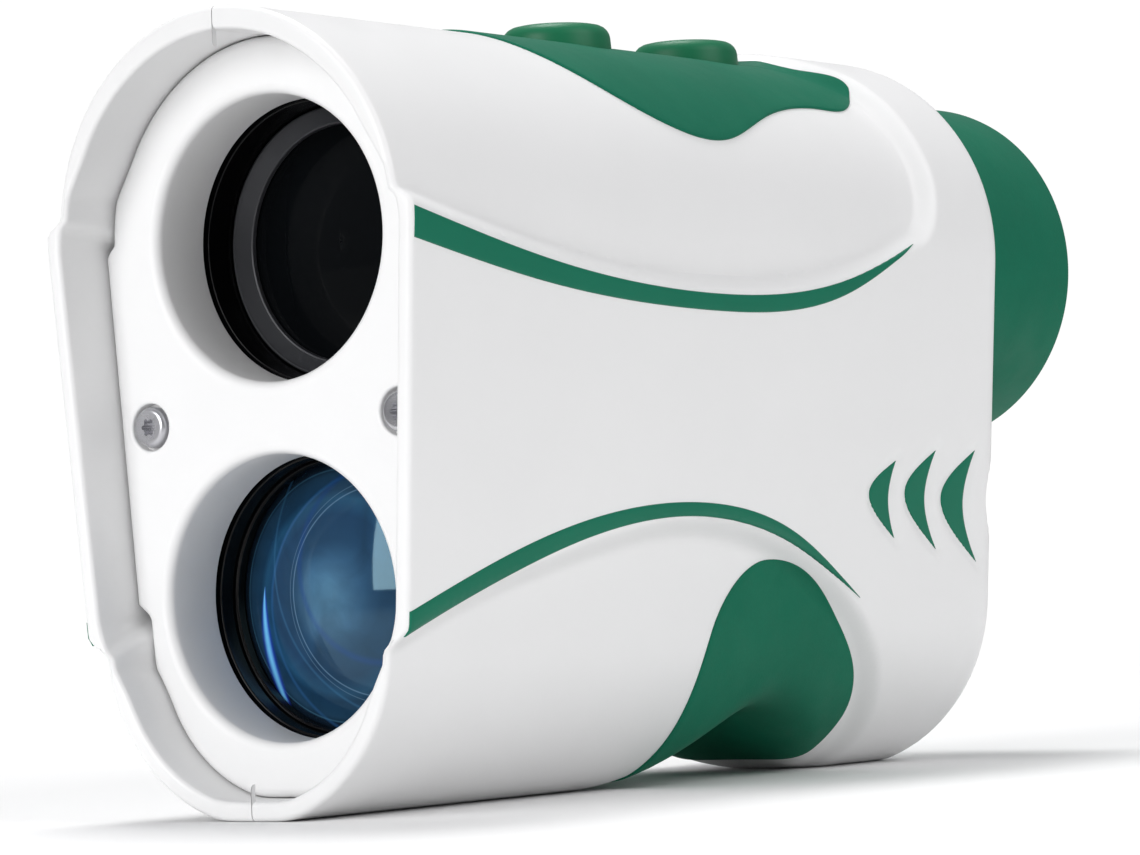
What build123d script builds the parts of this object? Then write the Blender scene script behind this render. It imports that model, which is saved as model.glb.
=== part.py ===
from build123d import *
import math
import os

# Hand-held laser rangefinder: a single-eye sighting scope above a laser receiver.
# Millimetres.  +Z is up, the lenses look along -Y, +X is the user's left-hand side.
# The origin is the bottom centre of the whole instrument.

# ---------------------------------------------------------------- driving sizes
total_length = 116.0        # front rim to the rear of the eyecup
body_length = 98.0          # front rim to the rear wall of the housing
body_height = 70.0          # height of the front rim
front_y = -total_length / 2

upper_z = 51.1              # centre of the round top of the body
lower_z = 15.5              # centre of the round bottom of the body
core_top_radius = 18.9      # body surface inside the scooped areas
core_bottom_radius = 15.9
skin_upper_z = 51.0         # the full-width skin outside the scoops
skin_lower_z = 17.2
skin_top_radius = 20.5
skin_bottom_radius = 18.0
wall = 1.7                  # housing wall, measured from the scooped surface
panel_low = 17.3            # the raised side panel at the rim, bottom and top
panel_high = 50.7
rear_wall = 2.4
seam_gap = 0.04             # each half stops this far from the middle plane
rim_rake = 1.5              # the rim's bottom sits this far behind its top
rear_edge_radius = 3.5

sight_z = 50.3              # height of the sighting axis
receiver_z = 19.0           # height of the receiving axis
window_radius = 12.8        # both round holes in the front plate
plate_depth = 6.1           # front plate, behind the rim
plate_thickness = 2.0
window_sleeve = 0.9         # wall of the sleeve behind each hole
window_sleeve_length = 5.8
fit_gap = 0.1               # gap round every piece let into another

screw_x = 14.0              # the two plate screws
screw_z = 34.5
screw_head_radius = 1.8
screw_shank_radius = 0.9

inlay_depth = 0.9           # how deep the green inlays sit
inlay_rise = 0.2            # how far pad and grip stand above the body
button_radius = 5.25
button_depths = (50.2, 71.8)
button_top = 72.1
button_travel = 0.5

notch_start = 44.0          # finger notch under the body
notch_middle = 62.0
notch_end = 81.0
notch_rise = 7.0

battery_z = 19.5            # CR2 cell: 15.6 mm across, 27 mm long
battery_radius = 7.8
battery_length = 27.0
battery_start = 66.2

os.makedirs("parts", exist_ok=True)


# ---------------------------------------------------------------- helpers
def section_plane(depth):
    """Upright plane across the body, this far behind the front rim."""
    return Plane.XZ.offset(-(front_y + depth))


def side_plane(x=0.0):
    """Plane along the body: across = distance behind the rim, up = height."""
    return Plane(origin=(x, front_y, 0), x_dir=(0, 1, 0), z_dir=(1, 0, 0))


def plan_plane(height):
    """Level plane: across = width, up = distance behind the rim."""
    return Plane(origin=(0, front_y, height), x_dir=(1, 0, 0), z_dir=(0, 0, 1))


def save(piece, name):
    """Name a finished piece and write it out."""
    piece.part.label = name
    export_step(piece.part, f"parts/{name}.step")


def egg_body(grow, skin=False, start=-2.0, end=body_length):
    """The body's upright egg section, carried from one depth to another."""
    top_z = skin_upper_z if skin else upper_z
    bottom_z = skin_lower_z if skin else lower_z
    top_radius = (skin_top_radius if skin else core_top_radius) + grow
    bottom_radius = (skin_bottom_radius if skin else core_bottom_radius) + grow
    with BuildPart() as body:
        with BuildSketch(section_plane(start)):
            with Locations((0, top_z)):
                Circle(top_radius)
            with Locations((0, bottom_z)):
                Circle(bottom_radius)
            make_hull()
        extrude(amount=start - end)
    return body.part


def hood_body(grow, start, end):
    """The egg section with the raised side panels, as the rim shows it."""
    with BuildPart() as body:
        add(egg_body(grow, skin=True, start=start, end=end))
        with BuildSketch(plan_plane(panel_low)):
            with Locations((0, (start + end) / 2)):
                Rectangle(60, end - start + 2)
        extrude(amount=panel_high - panel_low, mode=Mode.INTERSECT)
        add(egg_body(grow, start=start, end=end))
    return body.part


def notch_cutter(lift):
    """Space under the finger notch, or under the wall that covers it."""
    with BuildPart() as cutter:
        with BuildSketch(side_plane()):
            with BuildLine():
                Spline(
                    (notch_start - lift, lift),
                    (notch_middle, notch_rise + lift),
                    (notch_end + lift, lift),
                    tangents=((1, 0.05), (1, -0.05)),
                )
                Line((notch_end + lift, lift), (body_length + 5, lift))
                Line((body_length + 5, lift), (body_length + 5, -10))
                Line((body_length + 5, -10), (-5, -10))
                Line((-5, -10), (-5, lift))
                Line((-5, lift), (notch_start - lift, lift))
            make_face()
        extrude(amount=30, both=True)
    return cutter.part


def shell_layer(top, bottom):
    """A layer of the scooped surface, between two offsets from it."""
    with BuildPart() as layer:
        add(egg_body(top))
        add(notch_cutter(-top), mode=Mode.SUBTRACT)
        with BuildPart(mode=Mode.PRIVATE) as inside:
            add(egg_body(bottom, start=-3.0, end=body_length + 1))
            add(notch_cutter(-bottom), mode=Mode.SUBTRACT)
        add(inside.part, mode=Mode.SUBTRACT)
    return layer.part


def skin_layer(top, bottom):
    """A layer of the full-width skin, between two offsets from it."""
    with BuildPart() as layer:
        add(egg_body(top, skin=True))
        add(egg_body(bottom, skin=True, start=-3.0, end=body_length + 1), mode=Mode.SUBTRACT)
    return layer.part


def turned(axis_z, start, end, outer, inner=0.0):
    """A round disc or tube lying along the body, between two depths."""
    with BuildPart() as piece:
        with BuildSketch(section_plane(start)):
            with Locations((0, axis_z)):
                Circle(outer)
                if inner > 0:
                    Circle(inner, mode=Mode.SUBTRACT)
        extrude(amount=start - end)
    return piece


def revolved(axis_z, outline):
    """A turned piece from its half section: (depth, radius) corners."""
    with BuildPart() as piece:
        with BuildSketch(side_plane()):
            with BuildLine():
                Polyline([(depth, axis_z + radius) for depth, radius in outline], close=True)
            make_face()
        revolve(axis=Axis((0, front_y, axis_z), (0, 1, 0)))
    return piece


def bow_middle(vertex, edge, radius):
    """Half-way point of a round lens surface whose centre is on the axis."""
    sag = edge - vertex
    curve = (radius ** 2 + sag ** 2) / (2 * sag)
    half_angle = math.asin(radius / abs(curve)) / 2
    depth = vertex + curve * (1 - math.cos(half_angle))
    return depth, abs(curve) * math.sin(half_angle)


def lens(axis_z, front, edge_start, edge_end, back, radius):
    """A glass lens: front and back are the surface depths on the axis."""
    front_depth, front_radius = bow_middle(front, edge_start, radius)
    back_depth, back_radius = bow_middle(back, edge_end, radius)
    with BuildPart() as piece:
        with BuildSketch(side_plane()):
            with BuildLine():
                ThreePointArc(
                    (front, axis_z),
                    (front_depth, axis_z + front_radius),
                    (edge_start, axis_z + radius),
                )
                Line((edge_start, axis_z + radius), (edge_end, axis_z + radius))
                ThreePointArc(
                    (edge_end, axis_z + radius),
                    (back_depth, axis_z + back_radius),
                    (back, axis_z),
                )
                Line((back, axis_z), (front, axis_z))
            make_face()
        revolve(axis=Axis((0, front_y, axis_z), (0, 1, 0)))
    return piece


def seal_ring(axis_z, depth, major, minor):
    """A rubber O-ring round an axis that lies along the body."""
    with BuildPart() as piece:
        with BuildSketch(side_plane()):
            with Locations((depth, axis_z + major)):
                Circle(minor)
        revolve(axis=Axis((0, front_y, axis_z), (0, 1, 0)))
    return piece


def block(x_range, depth_range, z_range):
    """A plain rectangular block between three pairs of limits."""
    width = x_range[1] - x_range[0]
    length = depth_range[1] - depth_range[0]
    with BuildPart() as piece:
        with BuildSketch(plan_plane(z_range[0])):
            with Locations(((x_range[0] + x_range[1]) / 2, (depth_range[0] + depth_range[1]) / 2)):
                Rectangle(width, length)
        extrude(amount=z_range[1] - z_range[0])
    return piece


# ---------------------------------------------------------------- outlines on the body
upper_stripe_top = [(0.9, 51.3), (20, 47.5), (46, 45.2), (68, 47.1), (80.5, 51.0)]
upper_stripe_bottom = [(0.9, 48.6), (20, 45.4), (46, 43.6), (68, 45.7), (80.5, 51.0)]
lower_stripe_top = [(1.4, 17.5), (20, 23.4), (44, 26.2), (60, 23.2), (71.4, 16.8)]
lower_stripe_bottom = [(1.4, 15.4), (20, 21.6), (44, 24.9), (60, 22.0), (71.4, 16.8)]


def stripe_prism(side, top, bottom):
    """A stripe's tapering outline, carried sideways through the skin."""
    with BuildPart() as prism:
        with BuildSketch(side_plane(side * 10)):
            with BuildLine():
                Spline(top)
                Line(top[0], bottom[0])
                Spline(bottom)
            make_face()
        extrude(amount=side * 15)
    return prism.part


def crescents_prism(side):
    """Three crescents that grow toward the rear, carried sideways."""
    # depth and height of both tips, then the depths of the outer and inner bulge
    crescents = [
        ((77.5, 29.9), (77.5, 22.4), 73.0, 75.9),
        ((84.9, 30.9), (85.3, 21.2), 79.4, 82.6),
        ((92.4, 30.9), (93.3, 19.8), 86.4, 90.2),
    ]
    with BuildPart() as prism:
        with BuildSketch(side_plane(side * 10)):
            for high, low, outer, inner in crescents:
                middle = (high[1] + low[1]) / 2
                with BuildLine():
                    ThreePointArc(high, (outer, middle), low)
                    ThreePointArc(high, (inner, middle), low)
                make_face()
        extrude(amount=side * 15)
    return prism.part


def pad_prism(gap):
    """The top pad's outline seen from above: waisted, with two rear corners."""
    front = [(0, 30.9), (7.4, 32.0), (13.0, 36.6), (16.2, 45.0)]
    side = [(16.6, 54.5), (14.6, 64.2), (13.4, 75.0)]
    rear = [(12.9, 80.8), (10.3, 84.3), (7.2, 80.8), (4.0, 78.9), (0, 78.5)]
    middle = 57.0
    shrink = 1 - gap / 14
    points = [(x * shrink, middle + (depth - middle) * shrink) for x, depth in front + side + rear]
    mirrored = [(-x, depth) for x, depth in points[::-1]]
    with BuildPart() as prism:
        with BuildSketch(plan_plane(56)):
            with BuildLine():
                Spline(points, tangents=((1, 0), (-1, 0)))
                Spline(mirrored, tangents=((-1, 0), (1, 0)))
            make_face()
        extrude(amount=20)
    return prism.part


def grip_prism(gap):
    """The grip's teardrop outline from the side, open at the bottom."""
    front = 47.3 + gap
    top = 20.7 - gap
    crest = [(front, 5), (49.6 + gap, 15.2 - gap), (57.2, top), (68.6 - gap, 16.3 - gap), (77.6 - gap, 5.4)]
    with BuildPart() as prism:
        with BuildSketch(side_plane()):
            with BuildLine():
                Line((front, -2), (front, 5))
                Spline(crest, tangents=((0, 1), (0.1, -1)))
                Line((77.6 - gap, 5.4), (78.2 - gap, -2))
                Line((78.2 - gap, -2), (front, -2))
            make_face()
        extrude(amount=25, both=True)
    return prism.part


def scoop_prisms():
    """Side views of the two scooped areas, carried right through the body."""
    with BuildPart() as prisms:
        with BuildSketch(side_plane()):
            with BuildLine():
                Spline((-3, 53.3), (20, 48.7), (46, 46.3), (68, 48.1), (81.5, 51.6))
                Spline(
                    (81.5, 51.6), (84.8, 56.5), (85.0, 62.0), (84.2, 67.0), tangents=((2, 1), (-0.5, 1))
                )
                Polyline((84.2, 67.0), (81.4, 68.4), (78.8, 69.7), (78.2, 72.0), (78.2, 78.0), (-3, 78))
                Line((-3, 78), (-3, 53.3))
            make_face()
        extrude(amount=30, both=True)
        with BuildSketch(side_plane()):
            with BuildLine():
                Spline(
                    (-3, 13.0), (11, 18.0), (28.4, 22.0), (44, 23.8), (57, 21.9), (70.5, 15.3), (82.5, -2)
                )
                Line((82.5, -2), (-3, -2))
                Line((-3, -2), (-3, 13.0))
            make_face()
        extrude(amount=30, both=True)
    return prisms.part


# ---------------------------------------------------------------- housing
# depth and height of each housing screw, and where its head sits
housing_screws_at = [(38.0, 34.6, 17.0), (86.4, 34.0, 17.0), (88.0, 6.4, 11.4)]
screw_places = [(depth, height) for depth, height, seat in housing_screws_at]
boss_radius = 2.5
pad_layer = shell_layer(inlay_rise, -inlay_depth)
pocket_layer = shell_layer(4.0, -inlay_depth - fit_gap)
skin_inlay = skin_layer(0, -inlay_depth)
skin_pocket = skin_layer(4.0, -inlay_depth - fit_gap)

with BuildPart() as scoops:
    add(scoop_prisms())
    add(egg_body(0, start=-5.0, end=body_length + 5), mode=Mode.SUBTRACT)

with BuildPart() as cavity:
    add(egg_body(-wall, start=-5.0, end=body_length - rear_wall))
    add(hood_body(-wall, -5.0, plate_depth + plate_thickness + fit_gap))
    add(notch_cutter(wall), mode=Mode.SUBTRACT)

with BuildPart() as bosses:
    with BuildSketch(section_plane(plate_depth + plate_thickness + fit_gap)):
        with Locations((screw_x, screw_z), (-screw_x, screw_z)):
            Circle(2.3)
    extrude(amount=-8.0)
    with BuildSketch(side_plane()):
        with Locations(screw_places):
            Circle(boss_radius)
    extrude(amount=20, both=True)
    add(egg_body(-0.6), mode=Mode.INTERSECT)

with BuildPart() as housing:
    add(egg_body(0, skin=True))
    fillet(housing.faces().sort_by(Axis.Y)[-1].edges(), rear_edge_radius)
    add(scoops.part, mode=Mode.SUBTRACT)
    add(notch_cutter(0), mode=Mode.SUBTRACT)
    # the rim leans back toward its bottom
    rake_slope = rim_rake / body_height
    with BuildSketch(side_plane()):
        with BuildLine():
            Polyline(
                (-5, body_height + 8),
                (-8 * rake_slope, body_height + 8),
                (rim_rake + 8 * rake_slope, -8),
                (-5, -8),
                close=True,
            )
        make_face()
    extrude(amount=30, both=True, mode=Mode.SUBTRACT)
    add(cavity.part, mode=Mode.SUBTRACT)
    add(bosses.part)
    # eyepiece opening and battery opening in the rear wall
    with BuildSketch(section_plane(body_length - rear_wall - 4)):
        with Locations((0, sight_z)):
            Circle(14.9)
        with Locations((0, battery_z)):
            Circle(9.4)
    extrude(amount=-(rear_wall + 8), mode=Mode.SUBTRACT)
    # holes for both push buttons
    with BuildSketch(plan_plane(62)):
        with Locations([(0, depth) for depth in button_depths]):
            Circle(button_radius + 0.2)
    extrude(amount=15, mode=Mode.SUBTRACT)
    # pockets for pad, grip, stripes and crescents
    for prism in (pad_prism(0), grip_prism(0)):
        with BuildPart(mode=Mode.PRIVATE) as pocket:
            add(prism)
            add(pocket_layer, mode=Mode.INTERSECT)
        add(pocket.part, mode=Mode.SUBTRACT)
    for side in (1, -1):
        for prism in (
            stripe_prism(side, upper_stripe_top, upper_stripe_bottom),
            stripe_prism(side, lower_stripe_top, lower_stripe_bottom),
            crescents_prism(side),
        ):
            with BuildPart(mode=Mode.PRIVATE) as pocket:
                add(prism)
                add(skin_pocket, mode=Mode.INTERSECT)
            add(pocket.part, mode=Mode.SUBTRACT)
    # thumb scallop in each rear side edge
    for side in (1, -1):
        with BuildSketch(side_plane(side * 14)):
            with Locations((body_length + 4.3, 26.0)):
                Circle(6.2)
        extrude(amount=side * 10, mode=Mode.SUBTRACT)
    # plate screw pilots
    with BuildSketch(section_plane(plate_depth)):
        with Locations((screw_x, screw_z), (-screw_x, screw_z)):
            Circle(screw_shank_radius + 0.05)
    extrude(amount=-8.5, mode=Mode.SUBTRACT)
    # housing screws enter from the right-hand side
    with BuildSketch(side_plane(-25)):
        with Locations(screw_places):
            Circle(screw_shank_radius + 0.1)
    extrude(amount=34, mode=Mode.SUBTRACT)
    for depth, height, seat in housing_screws_at:
        with BuildSketch(side_plane(-25)):
            with Locations((depth, height)):
                Circle(screw_head_radius + 0.2)
        extrude(amount=25 - seat, mode=Mode.SUBTRACT)

for name, side in (("left_shell", 1), ("right_shell", -1)):
    with BuildPart() as half:
        add(housing.part)
        with BuildSketch(side_plane(side * seam_gap)):
            with Locations((total_length / 2, body_height / 2)):
                Rectangle(total_length * 2, body_height * 2)
        extrude(amount=side * 30, mode=Mode.INTERSECT)
    save(half, name)

# ---------------------------------------------------------------- green trim
with BuildPart() as top_pad:
    add(pad_prism(fit_gap))
    add(pad_layer, mode=Mode.INTERSECT)
    with BuildSketch(plan_plane(62)):
        with Locations([(0, depth) for depth in button_depths]):
            Circle(button_radius + 0.2)
    extrude(amount=15, mode=Mode.SUBTRACT)
save(top_pad, "top_pad")

with BuildPart() as grip_insert:
    add(grip_prism(fit_gap))
    add(pad_layer, mode=Mode.INTERSECT)
save(grip_insert, "grip_insert")

for side_name, side in (("left", 1), ("right", -1)):
    with BuildPart() as upper_stripe:
        add(stripe_prism(side, upper_stripe_top, upper_stripe_bottom))
        add(skin_inlay, mode=Mode.INTERSECT)
    save(upper_stripe, f"upper_stripe_{side_name}")
    with BuildPart() as lower_stripe:
        add(stripe_prism(side, lower_stripe_top, lower_stripe_bottom))
        add(skin_inlay, mode=Mode.INTERSECT)
    save(lower_stripe, f"lower_stripe_{side_name}")
    with BuildPart() as crescents:
        add(crescents_prism(side))
        add(skin_inlay, mode=Mode.INTERSECT)
    save(crescents, f"crescents_{side_name}")

# ---------------------------------------------------------------- front plate and screws
with BuildPart() as front_plate:
    plate_start = plate_depth
    plate_end = plate_depth + plate_thickness
    add(hood_body(-wall - fit_gap, plate_start, plate_end))
    add(notch_cutter(wall + fit_gap), mode=Mode.SUBTRACT)
    with BuildSketch(section_plane(plate_end)):
        with Locations((0, sight_z), (0, receiver_z)):
            Circle(window_radius + window_sleeve)
    extrude(amount=-(window_sleeve_length - plate_thickness))
    with BuildSketch(section_plane(0)):
        with Locations((0, sight_z), (0, receiver_z)):
            Circle(window_radius)
        with Locations((screw_x, screw_z), (-screw_x, screw_z)):
            Circle(screw_shank_radius + 0.1)
    extrude(amount=-20, mode=Mode.SUBTRACT)
    with BuildSketch(section_plane(0)):
        with Locations((screw_x, screw_z), (-screw_x, screw_z)):
            Circle(screw_head_radius + 0.3)
    extrude(amount=-(plate_start + 1.0), mode=Mode.SUBTRACT)
    front_edges = front_plate.faces().sort_by(Axis.Y)[0].edges()
    round_edges = front_edges.filter_by(GeomType.CIRCLE)
    fillet(round_edges.filter_by(lambda edge: abs(edge.radius - window_radius) < 0.1), 0.6)
save(front_plate, "front_plate")


def screw(head_plane, length):
    """A pan-head screw with a six-lobed socket; local up is out of the head."""
    with BuildPart() as piece:
        with BuildSketch(head_plane):
            Circle(screw_head_radius)
        extrude(amount=1.2)
        fillet(piece.edges().filter_by(GeomType.CIRCLE).group_by(SortBy.LENGTH)[-1][-1], 0.5)
        with BuildSketch(head_plane):
            Circle(screw_shank_radius)
        extrude(amount=-length)
        with BuildSketch(head_plane.offset(0.4)):
            Circle(0.62)
            with PolarLocations(0.62, 6):
                Circle(0.2)
        extrude(amount=2, mode=Mode.SUBTRACT)
    return piece.part


with BuildPart() as plate_screws:
    for side in (1, -1):
        head_seat = (side * screw_x, front_y + plate_depth + 0.98, screw_z)
        add(screw(Plane(origin=head_seat, x_dir=(1, 0, 0), z_dir=(0, -1, 0)), 7.0))
save(plate_screws, "plate_screws")

with BuildPart() as housing_screws:
    for depth, height, seat in housing_screws_at:
        head_seat = (-seat - 0.02, front_y + depth, height)
        add(screw(Plane(origin=head_seat, x_dir=(0, 1, 0), z_dir=(-1, 0, 0)), seat + 6.0))
save(housing_screws, "housing_screws")

# ---------------------------------------------------------------- push buttons
cap_bottom = 65.5
for name, depth in (("front", button_depths[0]), ("rear", button_depths[1])):
    with BuildPart() as button:
        with BuildSketch(plan_plane(cap_bottom)):
            with Locations((0, depth)):
                Circle(button_radius + 0.9)
        extrude(amount=0.8)
        with BuildSketch(plan_plane(cap_bottom)):
            with Locations((0, depth)):
                Circle(button_radius)
        extrude(amount=button_top - cap_bottom)
        fillet(button.faces().sort_by(Axis.Z)[-1].edges(), 0.8)
    save(button, f"{name}_button")
    with BuildPart() as plunger:
        with BuildSketch(plan_plane(cap_bottom - 1.1)):
            with Locations((0, depth)):
                Circle(1.0)
        extrude(amount=1.08)
    save(plunger, f"{name}_plunger")
    with BuildPart() as switch:
        with BuildSketch(plan_plane(63.22)):
            with Locations((0, depth)):
                RectangleRounded(5.2, 5.2, 0.4)
        extrude(amount=1.7)
        with BuildSketch(plan_plane(63.72)):
            with Locations((0, depth)):
                Circle(1.1)
        extrude(amount=2, mode=Mode.SUBTRACT)
    save(switch, f"{name}_switch")

# ---------------------------------------------------------------- electronics
save(block((-6, 6), (44.5, 77.5), (62.2, 63.2)), "button_board")
save(block((13.0, 14.2), (48, 82), (28, 44)), "main_board")
save(block((12.0, 12.98), (55, 63), (31, 39)), "processor_chip")

with BuildPart() as buzzer:
    with BuildSketch(side_plane(10.5)):
        with Locations((76.4, 33.6)):
            Circle(4.5)
            Circle(0.8, mode=Mode.SUBTRACT)
    extrude(amount=2.4)
save(buzzer, "buzzer")

with BuildPart() as ribbon_cable:
    add(block((3.0, 12.2), (58, 64), (61.9, 62.1)).part)
    add(block((12.0, 12.2), (58, 64), (41.5, 62.1)).part)
    add(block((12.0, 12.95), (58, 64), (41.5, 41.7)).part)
save(ribbon_cable, "ribbon_cable")

# ---------------------------------------------------------------- sighting optics
save(revolved(sight_z, [
    (12.1, 12.1), (12.1, 13.6), (24.0, 13.6), (25.0, 11.8), (44.0, 11.8),
    (44.0, 10.6), (22.6, 10.6), (22.6, 12.1),
]), "objective_barrel")
save(turned(sight_z, 16.2, 17.6, 12.05, 11.0), "objective_ring")
save(lens(sight_z, 16.4, 17.9, 19.4, 19.9, 12.0), "objective_lens")
save(lens(sight_z, 20.2, 19.6, 22.4, 21.8, 12.0), "objective_rear_lens")

with BuildPart() as prism_cage:
    add(block((-11.5, 11.5), (44.4, 73.0), (39.3, 61.3)).part)
    add(block((-10.3, 10.3), (45.6, 71.8), (40.5, 60.1)).part, mode=Mode.SUBTRACT)
    with BuildSketch(section_plane(44)):
        with Locations((0, sight_z)):
            Circle(8.2)
    extrude(amount=-30, mode=Mode.SUBTRACT)
    with BuildSketch(side_plane()):
        with Locations((58.7, sight_z)):
            Rectangle(20, 12)
    extrude(amount=12, both=True, mode=Mode.SUBTRACT)
save(prism_cage, "prism_cage")

for name, corners in (
    ("front_prism", [(46.2, 41.6), (46.2, 59.0), (50.0, 59.0), (58.2, 50.8), (58.2, 41.6)]),
    ("rear_prism", [(58.7, 51.0), (51.0, 58.7), (51.6, 59.6), (71.2, 59.6), (71.2, 41.2), (68.5, 41.2)]),
):
    with BuildPart() as prism:
        with BuildSketch(side_plane(-8.0)):
            with BuildLine():
                Polyline(corners, close=True)
            make_face()
        extrude(amount=16)
    save(prism, name)

save(block((-9, 9), (73.2, 74.6), (41.3, 59.3)), "reticle_display")
save(revolved(sight_z, [
    (78.0, 11.6), (78.0, 13.0), (91.8, 13.0), (91.8, 16.4), (95.3, 16.4), (95.3, 13.8),
    (106.0, 13.8), (106.0, 11.6),
]), "eyepiece_tube")
save(seal_ring(sight_z, 96.8, 14.35, 0.5), "eyepiece_seal")
save(revolved(sight_z, [
    (80.0, 9.4), (80.0, 11.54), (104.4, 11.54), (104.4, 10.0), (83.0, 10.0), (83.0, 9.4),
]), "lens_cell")
save(lens(sight_z, 83.2, 84.6, 86.4, 87.8, 9.94), "field_lens")
save(lens(sight_z, 97.0, 98.4, 100.2, 101.6, 9.94), "eye_lens")
save(turned(sight_z, 100.6, 102.4, 9.95, 8.9), "eye_lens_ring")
save(revolved(sight_z, [
    (98.4, 13.87), (98.4, 15.9), (113.0, 15.9), (113.0, 12.6), (107.6, 12.6), (107.6, 13.87),
]), "diopter_ring")

with BuildPart() as eyecup:
    with BuildSketch(side_plane()):
        with BuildLine():
            Polyline(
                (98.4, sight_z + 15.95),
                (98.4, sight_z + 17.4),
                (106.0, sight_z + 17.7),
                (116.0, sight_z + 17.7),
                (116.0, sight_z + 13.4),
                (113.1, sight_z + 12.6),
                (113.1, sight_z + 15.95),
                close=True,
            )
        make_face()
    revolve(axis=Axis((0, front_y, sight_z), (0, 1, 0)))
    lip_edges = eyecup.faces().sort_by(Axis.Y)[-1].edges()
    fillet(lip_edges, 1.2)
save(eyecup, "eyecup")

# ---------------------------------------------------------------- laser and receiver
save(revolved(receiver_z, [
    (12.1, 12.1), (12.1, 13.6), (21.0, 13.6), (46.0, 6.2), (50.0, 6.2),
    (50.0, 4.6), (46.0, 4.6), (22.5, 10.8), (20.6, 10.8), (20.6, 12.1),
]), "receiver_barrel")
save(turned(receiver_z, 14.6, 15.6, 12.05, 11.5), "receiver_ring")
save(lens(receiver_z, 13.6, 15.9, 19.4, 20.2, 12.0), "receiver_lens")
save(turned(receiver_z, 46.4, 47.4, 4.55), "receiver_filter")

with BuildPart() as detector:
    with BuildSketch(section_plane(48.2)):
        with Locations((0, receiver_z)):
            Circle(2.3)
    extrude(amount=-3.0)
    with BuildSketch(section_plane(50.7)):
        with Locations((0, receiver_z)):
            Circle(2.7)
    extrude(amount=-0.5)
save(detector, "detector")
save(block((-9, 9), (51.3, 52.4), (11.0, 29.5)), "receiver_board")
save(block((-6.5, 6.5), (52.42, 55.2), (13.5, 25.5)), "shield_can")

with BuildPart() as laser_diode:
    with BuildSketch(side_plane(-11.7)):
        with Locations((66.5, 43.0)):
            Circle(2.3)
    extrude(amount=-1.2)
    with BuildSketch(side_plane(-12.9)):
        with Locations((66.5, 43.0)):
            Circle(2.5)
    extrude(amount=-1.0)
save(laser_diode, "laser_diode")

with BuildPart() as optics_chassis:
    add(block((-9, 9), (14.5, 34.5), (32.9, 36.4)).part)
    add(block((-5, 5), (26.0, 31.0), (31.6, 37.6)).part)
    for axis_z in (sight_z, receiver_z):
        with BuildSketch(section_plane(26.0)):
            with Locations((0, axis_z)):
                Circle(13.4)
        extrude(amount=-5.0)
    add(turned(sight_z, 12, 40, 11.9).part, mode=Mode.SUBTRACT)
    add(turned(receiver_z, 12, 40, 12.3).part, mode=Mode.SUBTRACT)
    # room for the front part of both barrels
    add(turned(sight_z, 12, 25.3, 13.7).part, mode=Mode.SUBTRACT)
    add(turned(receiver_z, 12, 22.0, 13.7).part, mode=Mode.SUBTRACT)
save(optics_chassis, "optics_chassis")

# ---------------------------------------------------------------- battery
save(turned(battery_z, 61.0, 93.0, 9.2, 8.1), "battery_sleeve")
with BuildPart() as battery:
    battery_end = battery_start + battery_length
    with BuildSketch(section_plane(battery_start + 0.6)):
        with Locations((0, battery_z)):
            Circle(battery_radius)
    extrude(amount=-(battery_length - 0.6))
    fillet(battery.edges().filter_by(GeomType.CIRCLE), 0.5)
    with BuildSketch(section_plane(battery_start)):
        with Locations((0, battery_z)):
            Circle(3.2)
    extrude(amount=-1.0)
save(battery, "battery")

with BuildPart() as battery_spring:
    with BuildSketch(section_plane(61.2)):
        with Locations((0, battery_z)):
            Circle(7.6)
    extrude(amount=-0.4)
    with BuildSketch(section_plane(61.6)):
        with Locations((0, battery_z)):
            Circle(3.0)
            Circle(2.4, mode=Mode.SUBTRACT)
    extrude(amount=-4.55)
save(battery_spring, "battery_spring")

with BuildPart() as battery_cap:
    add(revolved(battery_z, [
        (94.7, 0), (94.7, 9.33), (97.3, 9.33), (97.3, 8.3), (98.4, 8.3), (98.4, 10.6), (100.4, 10.6),
        (101.0, 10.0), (101.0, 0),
    ]).part)
    # coin slot
    with BuildSketch(section_plane(99.6)):
        with Locations((0, battery_z)):
            SlotOverall(14.0, 2.0)
    extrude(amount=-5, mode=Mode.SUBTRACT)
save(battery_cap, "battery_cap")
save(turned(battery_z, 93.5, 94.5, 6.0), "cap_contact")
save(seal_ring(battery_z, 97.85, 8.84, 0.48), "cap_seal")
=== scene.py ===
import math

import bmesh
import bpy
import numpy as np
from mathutils import Matrix, Vector
from mathutils.geometry import delaunay_2d_cdt


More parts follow.
